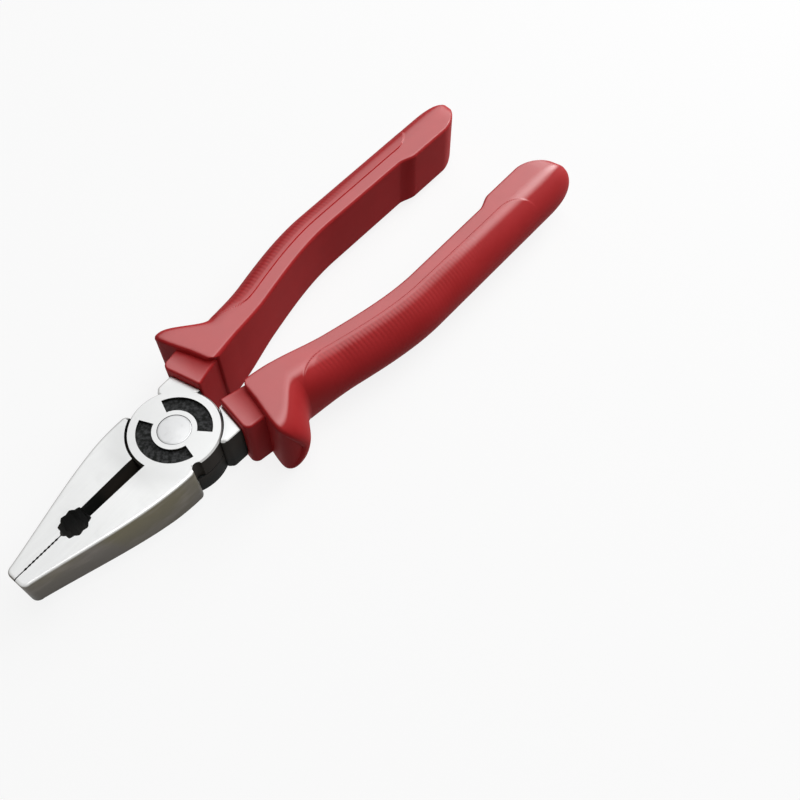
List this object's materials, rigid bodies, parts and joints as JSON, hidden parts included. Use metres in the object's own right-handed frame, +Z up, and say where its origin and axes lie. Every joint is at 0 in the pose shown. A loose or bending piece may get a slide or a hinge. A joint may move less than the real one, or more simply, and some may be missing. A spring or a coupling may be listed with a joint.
{
  "type": "lineman pliers",
  "caption": "Side-cutting combination pliers: lapped forged jaws with pipe grip and wire cutter turning on a flush rivet, curved red sleeves with finger guards.",
  "frame": {"origin": "middle of the bounding box in plan, on the plane under the finger guards", "axes": "+X from the handle ends toward the jaw tips, +Z up along the rivet, +Y toward the handle of the lower half"},
  "size_m": [0.207, 0.061, 0.0234],
  "materials": {
    "forged_steel": "ground bright faces with satin sides",
    "rivet_steel": "ground flush",
    "red_plastic": "satin moulding with a finely ribbed grip panel"
  },
  "bodies": {
    "upper_handle": {"upper_lap_half": "forged_steel", "upper_half_sleeve": "red_plastic", "pivot_rivet": "rivet_steel"},
    "lower_handle": {"lower_lap_half": "forged_steel", "lower_half_sleeve": "red_plastic"}
  },
  "joints": [
    {"name": "pivot", "type": "hinge", "parent": "upper_handle", "child": "lower_handle", "pos_m": [0.0502, 0, 0.0117], "axis": [0, 0, -1], "range_deg": [0, 38]}
  ]
}
